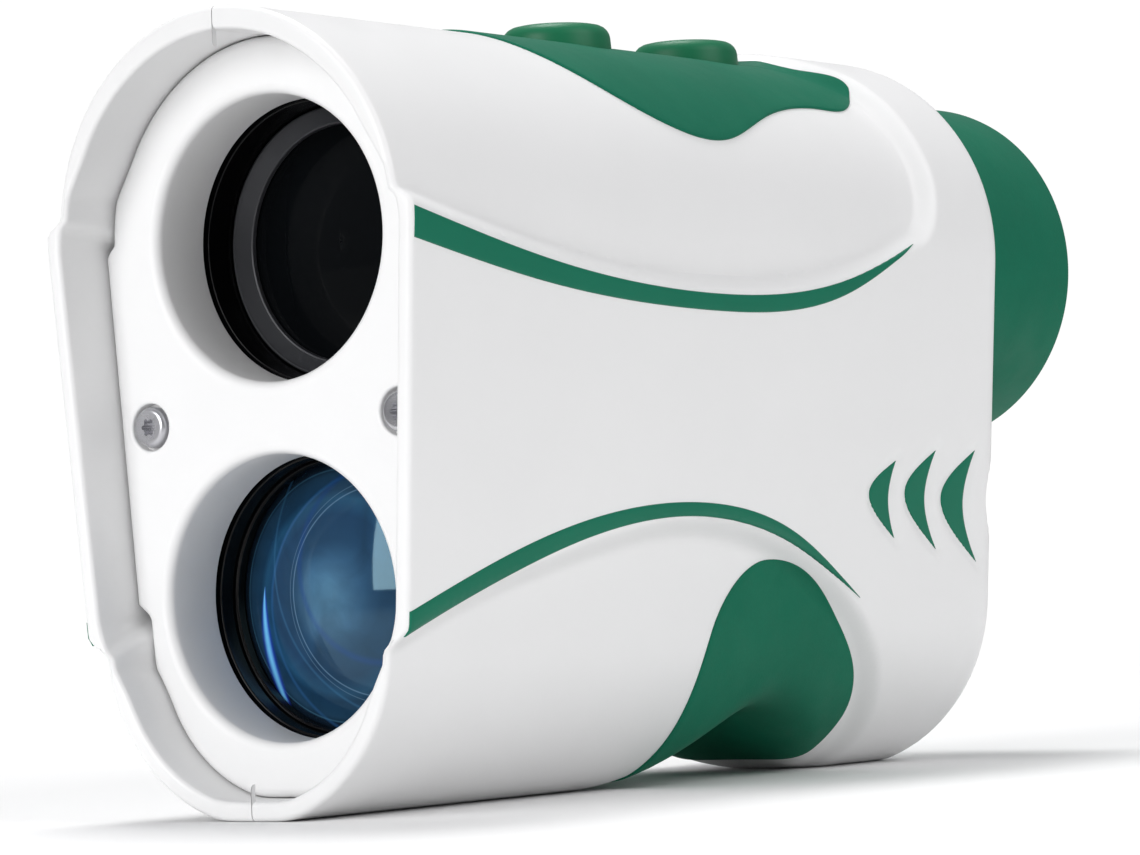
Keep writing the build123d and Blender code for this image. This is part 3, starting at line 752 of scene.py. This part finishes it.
# ------------------------------------------------------------------ housing halves
def scallop(points):
    """Cuts a thumb scallop into the rear side edge."""
    centre_depth, centre_z, radius = SHELL_END + 2.0, 26.1, 5.3
    away = radius**2 - (points[..., 2] - centre_z) ** 2
    limit = np.where(away > 0, centre_depth - np.sqrt(np.maximum(away, 0.01)), 200)
    cut = np.minimum(points[..., 1], limit)
    share = smooth_step((points[..., 0] - 16.1) / 1.0)
    points[..., 1] = points[..., 1] + (cut - points[..., 1]) * share
    return points


def screw_wells(grid):
    """Sinks the grid into a round well at each housing screw."""
    for depth, height, seat in HOUSING_SCREWS:
        to_d, to_z = grid[..., 1] - depth, grid[..., 2] - height
        away = np.hypot(to_d, to_z)
        outside = grid[..., 0] > seat
        ring = (np.abs(away - 2.0) < 0.27) & outside
        well = (away <= 1.73) & outside
        grow = np.where(ring, 2.0 / np.maximum(away, 0.1), 1.0)
        grow = np.where(well, 1.9 / 1.73, grow)
        grid[..., 1] = depth + to_d * grow
        grid[..., 2] = height + to_z * grow
        grid[..., 0] = np.where(well, seat, grid[..., 0])


def half_circle(centre, radius):
    """The +X half of a round opening in the rear wall."""
    angles = np.linspace(-math.pi / 2, math.pi / 2, 64)
    x = np.maximum(radius * np.cos(angles), LEAST_X)
    return np.stack([x, centre + radius * np.sin(angles)], axis=1)


def add_rear_wall(build, edge):
    """The rear wall, with the eyepiece opening and the battery opening."""
    soft = 0.3
    battery_hole = half_circle(CAP_Z, BATTERY_HOLE + soft)
    eye_hole = half_circle(SIGHT_Z, EYEPIECE_HOLE + soft)
    seam_low = evenly([edge[-1], battery_hole[0]], 1.0)
    seam_middle = evenly([battery_hole[-1], eye_hole[0]], 1.0)
    seam_high = evenly([eye_hole[-1], edge[0]], 1.0)
    flat, faces = filled(np.concatenate([
        seam_low[:-1], battery_hole[:-1], seam_middle[:-1], eye_hole[:-1], seam_high[:-1], edge[:-1],
    ]), 1.0)
    build.add(scallop(at_depth(flat, SHELL_END)), [face[::-1] for face in faces])
    for centre, radius in ((CAP_Z, BATTERY_HOLE), (SIGHT_Z, EYEPIECE_HOLE)):
        rows = []
        for turn in np.linspace(0, math.pi / 2, 4):
            place = half_circle(centre, radius + soft * (1 - math.sin(turn)))
            rows.append(at_depth(place, SHELL_END - soft * (1 - math.cos(turn))))
        rows.append(at_depth(half_circle(centre, radius), SHELL_END - 2.4))
        build.grid(rows)


def housing_half(with_screw_wells):
    """One moulded half of the body, built on the +X side."""
    build = Build()
    s = np.concatenate([[0.045], np.arange(0.45, HALF_ROUND - 0.5, 0.45), [HALF_ROUND - 0.05]])
    x, z, nx, nz = core_section(s)
    rise = skin_rise(s)
    rim = RIM_RAKE * (BODY_TOP - z) / BODY_TOP
    outer = rise * skin_weight(rim + 0.5, z + nz * rise * 0.5)
    inner = lining(s, 1.5)
    outer_round, inner_round = 0.55, 0.5

    def rim_row(depth, height):
        """One row of points, at a depth and a height above the scooped surface."""
        px, pz = x + nx * height, z + nz * height
        lowest = np.maximum(-height, 0)
        pz = soft_max(pz, lowest, 0.35)
        return np.stack([np.maximum(px, LEAST_X), depth, pz], axis=1)

    rows = []
    for depth in np.linspace(PLATE_BACK + 1.5, 2.4, 10):
        rows.append(rim_row(np.full_like(s, depth), lining(s, depth)))
    quarter = np.linspace(0, math.pi / 2, 6)
    for height, rounding, turns in ((inner, inner_round, quarter), (outer, -outer_round, quarter[::-1])):
        for turn in turns:
            across, along = 1 - math.cos(turn), 1 - math.sin(turn)
            rows.append(rim_row(rim + abs(rounding) * along, height + rounding * across))
    front_count = len(rows)

    straight = SHELL_END - REAR_ROUND
    share = np.linspace(0, 1, 212)[1:, None]
    start = (rim + outer_round)[None]
    depths = start + (straight - start) * share
    wall_points = body_surface(np.broadcast_to(s, depths.shape), depths)
    wall_points[..., 0] = np.maximum(wall_points[..., 0], LEAST_X)
    fillet_rows = []
    for turn in np.linspace(0, math.pi / 2, 11)[1:]:
        inset = REAR_ROUND * (1 - math.cos(turn))
        depth = straight + REAR_ROUND * math.sin(turn)
        row = body_surface(s, np.full_like(s, depth), inset=inset)
        row[..., 0] = np.maximum(row[..., 0], LEAST_X)
        fillet_rows.append(row)
    grid = np.concatenate([np.array(rows), wall_points, np.array(fillet_rows)])

    sink = pocket_depth(s, wall_points)
    wall_points[..., 0] -= nx * sink
    wall_points[..., 2] -= nz * sink
    grid[front_count:front_count + len(wall_points)] = wall_points
    scallop(grid[front_count:])
    if with_screw_wells:
        screw_wells(grid[front_count:])
    build.grid(grid, flip=True)
    add_rear_wall(build, grid[-1][:, [0, 2]])

    # the seam's inner faces, so the parting line is a thin groove and not a slit
    for column in (0, -1):
        line = grid[front_count - 12:, column, :]
        deeper = line + np.array([0, 0, 1.5 if column == -1 else -1.5])
        build.grid([line, deeper], flip=column == 0)
    return build


for side_name, build in (("left", housing_half(False)), ("right", housing_half(True).mirrored())):
    make_object(
        f"housing_{side_name}", build.points, build.faces, "housing", [f"{side_name}_shell"],
        WHITE,
    )


# ------------------------------------------------------------------ green inlays
def side_surface(points, lift):
    """Side-view (depth, height) places carried out to the body's side."""
    depth, height = points[:, 0], points[:, 1]
    s = section_place(depth, height)
    return body_surface(s, depth, lift)


for piece_name, outlines in (
    ("upper_stripe", [stripe_outline(*UPPER_STRIPE)]),
    ("lower_stripe", [stripe_outline(*LOWER_STRIPE)]),
    ("crescents", CRESCENT_OUTLINES),
):
    whole = Build()
    for outline in outlines:
        part = inlay(outline, side_surface, 0.09, 0.14, 0.5, 0.45)
        whole.add(part.points, part.faces)
    for side_name, build in (("left", whole), ("right", whole.mirrored())):
        make_object(
            f"{piece_name}_inlay_{side_name}", build.points, build.faces, "housing",
            [f"{piece_name}_{side_name}"], TRIM_GREEN,
        )


def top_surface(points, lift):
    """Places on the body's round top, from (distance round, depth)."""
    out = body_surface(np.abs(points[:, 0]), points[:, 1], lift)
    out[:, 0] *= np.sign(points[:, 0] + 1e-9)
    return out


def button_ring(button, radius):
    return circle(0, button[1], radius, 72)


def pad_build():
    outline = counter_clockwise(pad_outline())
    normals = outline_normals(outline)
    rise, rounding = 0.22, 0.22
    inner = outline - normals * rounding
    hole_radius = BUTTON_RADIUS + 0.12
    holes = [button_ring(button, hole_radius + 0.25) for button in (FRONT_BUTTON, REAR_BUTTON)]
    build = Build()
    flat, faces = filled(inner, 0.6, holes)

    build.add(top_surface(flat, np.full(len(flat), rise)), [face[::-1] for face in faces])
    rows = []
    for turn in np.linspace(0, math.pi / 2, 5):
        place = inner + normals * rounding * math.sin(turn)
        rows.append(top_surface(place, np.full(len(place), rise - rounding * (1 - math.cos(turn)))))
    rows.append(top_surface(outline, np.full(len(outline), -0.5)))
    build.grid(np.array(rows), wrap=True)
    for button in (FRONT_BUTTON, REAR_BUTTON):
        rows = []
        for turn in np.linspace(0, math.pi / 2, 5):
            ring = button_ring(button, hole_radius + 0.25 * (1 - math.sin(turn)))
            rows.append(top_surface(ring, np.full(len(ring), rise - 0.25 * (1 - math.cos(turn)))))
        rows.append(top_surface(button_ring(button, hole_radius), np.full(72, -1.6)))
        build.grid(np.array(rows), wrap=True, flip=True)
    return build


pad = pad_build()
make_object("top_rubber_pad", pad.points, pad.faces, "housing", ["top_pad"], RUBBER_GREEN)


def belly_surface(points, lift):
    """Places round the underside, from (distance from the middle line, depth)."""
    s = HALF_ROUND - np.abs(points[:, 0])
    out = body_surface(s, points[:, 1], lift)
    out[:, 0] *= np.sign(points[:, 0] + 1e-9)
    return out


grip = inlay(grip_outline(), belly_surface, 0.18, 0.2, 0.6, 0.6)
make_object(
    "grip_rubber", grip.points, grip.faces, "housing", ["grip_insert"], RUBBER_GREEN
)


# ------------------------------------------------------------------ front plate
def plate_build():
    build = Build()
    s = np.arange(0.0, HALF_ROUND + 0.2, 0.5)
    s = np.minimum(s, HALF_ROUND)
    x, z, nx, nz = core_section(s)
    inner = lining(s, PLATE_BACK) - PLATE_GAP

    def border(inset):
        px, pz = x + nx * (inner - inset), z + nz * (inner - inset)
        pz = soft_max(pz, WALL + PLATE_GAP + inset, 0.35)
        half = np.stack([px, pz], axis=1)
        other = half[::-1][1:-1] * np.array([-1, 1])
        return np.concatenate([half, other])

    edge_round = 1.0
    window_round = 0.9
    well_round = 0.25
    well_radius = 2.1
    windows = [(0, SIGHT_Z), (0, RECEIVER_Z)]
    wells = [(SCREW_X, SCREW_Z), (-SCREW_X, SCREW_Z)]
    holes = [circle(cx, cz, WINDOW_RADIUS + window_round, 160) for cx, cz in windows]
    holes += [circle(cx, cz, well_radius + well_round, 48) for cx, cz in wells]
    flat, faces = filled(counter_clockwise(border(edge_round)), 1.6, holes)
    build.add(at_depth(flat, PLATE_FRONT), faces)
    rows = corner_rows(border, PLATE_FRONT, edge_round, 7)
    build.grid(rows + [at_depth(border(0), PLATE_FRONT + 2.0)], wrap=True)
    sleeve_end, sleeve_outside = PLATE_BACK + 0.6, WINDOW_RADIUS + 0.9
    sleeve = profile_of([
        (PLATE_FRONT + 2, WINDOW_RADIUS, 0), (sleeve_end, WINDOW_RADIUS, 0.15),
        (sleeve_end, sleeve_outside, 0.15), (PLATE_FRONT + 2, sleeve_outside, 0),
    ])
    well = [(PLATE_FRONT + 1.0, well_radius), (PLATE_FRONT + 1.0, 1.0)]
    for places, radius, rounding, count, steps, profile in (
        (windows, WINDOW_RADIUS, window_round, 160, 9, sleeve),
        (wells, well_radius, well_round, 48, 5, well),
    ):
        for cx, cz in places:
            def widened(extra):
                return circle(cx, cz, radius + extra, count)
            rows = corner_rows(widened, PLATE_FRONT, rounding, steps)
            rows += [at_depth(circle(cx, cz, size, count), depth) for depth, size in profile]
            build.grid(rows, wrap=True, flip=True)
    return build


plate = plate_build()
make_object(
    "front_panel", plate.points, plate.faces, "housing", ["front_plate"], PLATE_WHITE
)


# ------------------------------------------------------------------ turned pieces
def turn_outward(mesh):
    """Makes every face of a piece look outward."""
    fixer = bmesh.new()
    fixer.from_mesh(mesh)
    bmesh.ops.recalc_face_normals(fixer, faces=fixer.faces)
    fixer.to_mesh(mesh)
    fixer.free()


def turned_piece(name, axis_z, corners, body, replaced, material, segments=160):
    build = Build()
    profile = profile_of(corners, closed=True)
    rows = [at_depth(circle(0.0, axis_z, radius, segments), depth) for depth, radius in profile]
    build.grid(rows, wrap=True)
    turn_outward(make_object(name, build.points, build.faces, body, replaced, material).data)


turned_piece(
    "sight_barrel", SIGHT_Z,
    [
        (12.9, 13.4, 0.1), (12.9, 12.25, 0.1), (22.6, 12.15, 0), (22.6, 10.6, 0), (44.0, 10.6, 0.1),
        (44.0, 11.8, 0.1), (25.0, 11.8, 0), (24.0, 13.4, 0),
    ],
    "housing", ["objective_barrel"], BLACK_SATIN,
)
turned_piece(
    "receiver_tube", RECEIVER_Z,
    [
        (12.9, 13.4, 0.1), (12.9, 12.25, 0.15), (20.6, 12.15, 0), (20.6, 10.8, 0), (22.5, 10.8, 0),
        (46.0, 4.6, 0), (50.0, 4.6, 0.1), (50.0, 6.2, 0.1), (46.0, 6.2, 0.2), (21.0, 13.4, 0),
    ],
    "housing", ["receiver_barrel"], BLACK_SATIN,
)
turned_piece(
    "sight_lens_ring", SIGHT_Z,
    [
        (16.0, 12.08, 0), (15.9, 11.9, 0.08), (16.1, 11.75, 0.05), (17.0, 10.75, 0.1), (17.05, 10.6, 0.06),
        (17.4, 10.5, 0.06), (17.45, 10.6, 0), (17.6, 12.08, 0),
    ],
    "housing", ["objective_ring"], GREY_RING,
)
turned_piece(
    "receiver_lens_ring", RECEIVER_Z,
    [(14.6, 12.12, 0), (14.6, 12.0, 0.04), (14.8, 11.85, 0.05), (15.6, 11.85, 0), (15.6, 12.12, 0)],
    "housing", ["receiver_ring"], BLACK_SATIN,
)
turned_piece(
    "rubber_eyecup", SIGHT_Z,
    [
        (98.4, 15.95, 0), (98.4, 17.4, 0.35), (100.2, 17.55, 0.1), (106.0, 17.7, 1.0), (116.0, 17.7, 1.25),
        (116.0, 13.4, 1.25), (114.4, 12.9, 0.4), (113.1, 12.6, 0.1), (113.1, 15.95, 0),
    ],
    "eyecup", ["eyecup"], RUBBER_GREEN, 192,
)


def button_build(centre):
    corners = [
        (BUTTON_FOOT, 0.0, 0), (BUTTON_FOOT, 6.1, 0), (BUTTON_FOOT + 0.8, 6.1, 0.1),
        (BUTTON_FOOT + 0.8, BUTTON_RADIUS, 0.1), (69.2, BUTTON_RADIUS, 1.0), (BUTTON_TOP - 0.22, 5.05, 1.35),
    ]
    profile = profile_of(corners + [(BUTTON_TOP - 0.05, 2.6, 0)])
    profile += [(BUTTON_TOP - 0.012, 1.3), (BUTTON_TOP, 0.0)]
    build = Build()
    rings = [circle(centre[0], centre[1], radius, 96) for height, radius in profile]
    heights = [np.full((96, 1), height) for height, radius in profile]
    build.grid([np.hstack(pair) for pair in zip(rings, heights)], wrap=True)
    return build


for piece_name, centre in (("front_button", FRONT_BUTTON), ("rear_button", REAR_BUTTON)):
    build = button_build(centre)
    made = make_object(
        f"{piece_name}_cap", build.points, build.faces, piece_name, [piece_name],
        BUTTON_GREEN,
    )
    turn_outward(made.data)


# ------------------------------------------------------------------ carried-over CAD pieces
def receiver_glass():
    """Blue coated glass, opaque, with painted light: the rings of the inner mount, their light and shade,
    and the reflections in the glass are painted into its colour.
    """
    material, nodes, links, shader, place = started_material("receiver_glass")
    apart = nodes.new("ShaderNodeSeparateXYZ")
    links.new(place, apart.inputs["Vector"])

    def math_node(operation, first, second=None):
        node = add_node(nodes, "Math", operation=operation)
        for socket, value in zip(node.inputs, (first, second)):
            if value is None:
                continue
            if isinstance(value, (int, float)):
                socket.default_value = value
            else:
                links.new(value, socket)
        return node.outputs["Value"]

    def radius_about(centre_x, centre_z):
        dx = math_node("SUBTRACT", apart.outputs["X"], centre_x / 1000)
        dz = math_node("SUBTRACT", apart.outputs["Z"], centre_z / 1000)
        square = math_node("ADD", math_node("MULTIPLY", dx, dx), math_node("MULTIPLY", dz, dz))
        return math_node("MULTIPLY", math_node("SQRT", square), 1000)

    def band(value, middle, half):
        """1 at the middle of a band, fading to 0 at half its width."""
        off = math_node("ABSOLUTE", math_node("SUBTRACT", value, middle))
        node = add_node(nodes, "MapRange", {"To Min": 1.0, "To Max": 0.0}, interpolation_type="SMOOTHSTEP")
        links.new(off, node.inputs["Value"])
        if isinstance(half, (int, float)):
            node.inputs["From Max"].default_value = half
        else:
            links.new(half, node.inputs["From Max"])
        return node.outputs["Result"]

    # painted light and shade: colour by distance from the lens's middle, lighter there and darker towards
    # the rim, in rings, standing for the lit inner mount; noise mottles it
    ramp = nodes.new("ShaderNodeValToRGB")
    stops = ramp.color_ramp.elements
    stops[0].position, stops[0].color = 0.0, srgb(58, 92, 122)
    stops[1].position, stops[1].color = 1.0, srgb(16, 26, 38)
    for position, colour in (
        (0.26, srgb(48, 84, 116)), (0.42, srgb(30, 62, 92)), (0.60, srgb(24, 56, 88)),
        (0.72, srgb(34, 76, 108)), (0.78, srgb(26, 58, 86)), (0.90, srgb(34, 66, 92)),
        (0.95, srgb(20, 36, 52)),
    ):
        stops.new(position).color = colour
    links.new(math_node("DIVIDE", radius_about(0.0, RECEIVER_Z), 12.0), ramp.inputs["Fac"])
    cloud = add_node(nodes, "TexNoise", {"Scale": 190, "Detail": 4, "Distortion": 1.2})
    links.new(place, cloud.inputs["Vector"])
    base = blended(nodes, links, "OVERLAY", 0.45, ramp.outputs["Color"], cloud.outputs["Fac"])
    # painted light: a pale blue patch of light on the inner lens, mottled by the noise
    glow = band(radius_about(-0.8, RECEIVER_Z - 0.3), 0.0, 4.6)
    patch = math_node("MULTIPLY", glow, cloud.outputs["Fac"])
    base = blended(nodes, links, "MIX", math_node("MULTIPLY", patch, 0.32), base, srgb(132, 196, 226))
    # painted reflections: thin light and dark arcs, each a band round its own centre
    for centre_x, centre_z, radius, half, strength, colour in (
        (4.5, 0.3, 9.3, 0.10, 0.5, srgb(120, 160, 190)), (4.7, 0.3, 9.9, 0.07, 0.35, srgb(120, 160, 190)),
        (4.4, -1.0, 12.2, 0.28, 0.5, srgb(46, 96, 150)), (8.0, 4.0, 15.4, 0.22, 0.35, srgb(60, 116, 160)),
        (5.0, 3.0, 9.0, 0.5, 0.4, srgb(22, 60, 130)), (0.0, 0.0, 11.2, 0.12, 0.55, srgb(70, 120, 150)),
    ):
        line = band(radius_about(centre_x, RECEIVER_Z + centre_z), radius, half)
        base = blended(nodes, links, "MIX", math_node("MULTIPLY", line, strength), base, colour)
    # painted glint: a long bright streak of painted reflection, widest at its middle
    above = math_node("SUBTRACT", apart.outputs["Z"], (RECEIVER_Z - 5.3) / 1000)
    height = math_node("MULTIPLY", above, 1000)
    share = math_node("DIVIDE", height, 6.4)
    taper = math_node("MAXIMUM", math_node("SUBTRACT", 1.0, math_node("MULTIPLY", share, share)), 0.001)
    across = radius_about(12.0, RECEIVER_Z - 2.0)
    for radius, half, colour in ((20.95, 1.0, srgb(40, 66, 214)), (20.98, 0.62, srgb(120, 206, 255))):
        line = band(across, radius, math_node("MULTIPLY", taper, half))
        base = blended(nodes, links, "MIX", line, base, colour)
    links.new(base, shader.inputs["Base Color"])
    shader.inputs["Specular Tint"].default_value = (0.45, 0.85, 1.0, 1)
    shader.inputs["Roughness"].default_value = 0.05
    shader.inputs["Coat Weight"].default_value = 0.15
    shader.inputs["Coat Roughness"].default_value = 0.02
    shader.inputs["Specular IOR Level"].default_value = 0.5
    return material


BLUE_GLASS = receiver_glass()
CAD_FINISH = (
    (BLACK_MATTE, (
        "front_plunger", "rear_plunger", "front_switch", "rear_switch", "processor_chip", "buzzer",
        "prism_cage", "eyepiece_tube", "lens_cell", "diopter_ring", "optics_chassis", "battery_sleeve",
        "battery_cap",
    )),
    (BLACK_SATIN, ("eye_lens_ring",)),
    (STEEL, ("plate_screws", "housing_screws", "shield_can", "battery_spring")),
    (GOLD, ("detector", "laser_diode", "cap_contact")),
    (BOARD, ("button_board", "main_board", "receiver_board")),
    (SEAL, ("eyepiece_seal", "cap_seal")),
    (DARK_GLASS, ("objective_lens", "eye_lens", "receiver_filter")),
    (CLEAR_GLASS, ("objective_rear_lens", "reticle_display", "field_lens")),
    (PRISM_GLASS, ("front_prism", "rear_prism")),
    (BLUE_GLASS, ("receiver_lens",)),
    (FILM, ("ribbon_cable",)),
    (WRAP, ("battery",)),
)
for material, nodes_of_material in CAD_FINISH:
    for node in nodes_of_material:
        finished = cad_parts[node].data.materials
        finished.clear()
        finished.append(material)


# ------------------------------------------------------------------ floor, light and camera
def floor_material():
    material, nodes, links, shader, place = started_material("studio_floor")
    noise = add_node(nodes, "TexNoise", {"Scale": 3.0})
    links.new(place, noise.inputs["Vector"])
    grey_low, grey_high = (0.84, 0.84, 0.84, 1), (0.86, 0.86, 0.86, 1)
    paper = blended(nodes, links, "MIX", noise.outputs["Fac"], grey_low, grey_high)
    links.new(paper, shader.inputs["Base Color"])
    shader.inputs["Roughness"].default_value = 0.8
    shader.inputs["Specular IOR Level"].default_value = 0.1
    # the paper floor runs out into an evenly lit white
    away = add_node(nodes, "VectorMath", operation="LENGTH")
    links.new(place, away.inputs[0])
    limits = {"From Min": 0.12, "From Max": 0.36}
    fade = add_node(nodes, "MapRange", limits, interpolation_type="SMOOTHSTEP")
    links.new(away.outputs["Value"], fade.inputs["Value"])
    # seen directly it is white, but it throws less light than that on the object
    brightness = add_node(nodes, "Math", operation="MULTIPLY_ADD")
    brightness.inputs[1].default_value = 0.62
    brightness.inputs[2].default_value = 0.40
    links.new(nodes.new("ShaderNodeLightPath").outputs["Is Camera Ray"], brightness.inputs[0])
    glow = nodes.new("ShaderNodeEmission")
    links.new(brightness.outputs["Value"], glow.inputs["Strength"])
    both = nodes.new("ShaderNodeMixShader")
    links.new(fade.outputs["Result"], both.inputs["Fac"])
    links.new(shader.outputs["BSDF"], both.inputs[1])
    links.new(glow.outputs["Emission"], both.inputs[2])
    links.new(both.outputs["Shader"], nodes["Material Output"].inputs["Surface"])
    return material


floor_mesh = bpy.data.meshes.new("studio_floor")
floor_ring = [
    (6 * math.cos(2 * math.pi * k / 96), 6 * math.sin(2 * math.pi * k / 96), -0.00002) for k in range(96)
]
floor_mesh.from_pydata(floor_ring, [], [tuple(range(96))])
floor = bpy.data.objects.new("studio_floor", floor_mesh)
bpy.context.scene.collection.objects.link(floor)
floor_mesh.materials.append(floor_material())

bpy.context.scene.view_settings.view_transform = "Standard"
world = bpy.data.worlds.new("studio")
bpy.context.scene.world = world
world.use_nodes = True
sky_nodes, sky_links = world.node_tree.nodes, world.node_tree.links
sky = sky_nodes["Background"]
sky_place = sky_nodes.new("ShaderNodeTexCoord")
sky_apart = sky_nodes.new("ShaderNodeSeparateXYZ")
sky_links.new(sky_place.outputs["Generated"], sky_apart.inputs["Vector"])
sky_ramp = sky_nodes.new("ShaderNodeValToRGB")
sky_ramp.color_ramp.elements[0].position = 0.40
sky_ramp.color_ramp.elements[0].color = (0.20, 0.20, 0.21, 1)
sky_ramp.color_ramp.elements[1].position = 0.95
sky_ramp.color_ramp.elements[1].color = (0.46, 0.46, 0.47, 1)
sky_height = add_node(sky_nodes, "MapRange", {"From Min": -1.0})
sky_links.new(sky_apart.outputs["Z"], sky_height.inputs["Value"])
sky_links.new(sky_height.outputs["Result"], sky_ramp.inputs["Fac"])
seen = sky_nodes.new("ShaderNodeLightPath").outputs["Is Camera Ray"]
backdrop = blended(sky_nodes, sky_links, "MIX", seen, sky_ramp.outputs["Color"], (1.02, 1.02, 1.02, 1))
sky_links.new(backdrop, sky.inputs["Color"])
sky.inputs["Strength"].default_value = 1.0


def softbox(name, place, aim, width, height, power):
    light = bpy.data.lights.new(name, "AREA")
    light.shape = "RECTANGLE"
    light.size, light.size_y = width, height
    light.energy = power
    made = bpy.data.objects.new(name, light)
    bpy.context.scene.collection.objects.link(made)
    made.location = place
    made.rotation_mode = "QUATERNION"
    made.rotation_quaternion = (Vector(aim) - Vector(place)).to_track_quat("-Z", "Y")
    return made


softbox("front_softbox", (-0.17, -1.15, 0.37), (0, -0.03, 0.035), 0.62, 0.68, 8.5)
softbox("side_softbox", (1.10, 0.10, 0.75), (0, 0, 0.035), 0.9, 0.9, 7.0)
softbox("top_softbox", (-0.32, 0.25, 1.25), (0, 0, 0.035), 0.5, 0.5, 10.0)

camera_data = bpy.data.cameras.new("main_camera")
camera = bpy.data.objects.new("main_camera", camera_data)
bpy.context.scene.collection.objects.link(camera)
camera_data.sensor_fit = "HORIZONTAL"
camera_data.sensor_width = 36.0
camera_data.lens = 140.97
camera_data.dof.use_dof = False
camera_data.clip_start, camera_data.clip_end = 0.02, 50
right_way = Vector((0.80846, 0.58728, -0.03865))
up_way = Vector((0.05053, -0.00384, 0.99871))
back_way = Vector((0.58638, -0.80937, -0.03279))
turn = Matrix((right_way, up_way, back_way)).transposed()
camera.matrix_world = Matrix.Translation((0.247480, -0.349586, 0.020128)) @ turn.to_4x4()
bpy.context.scene.camera = camera
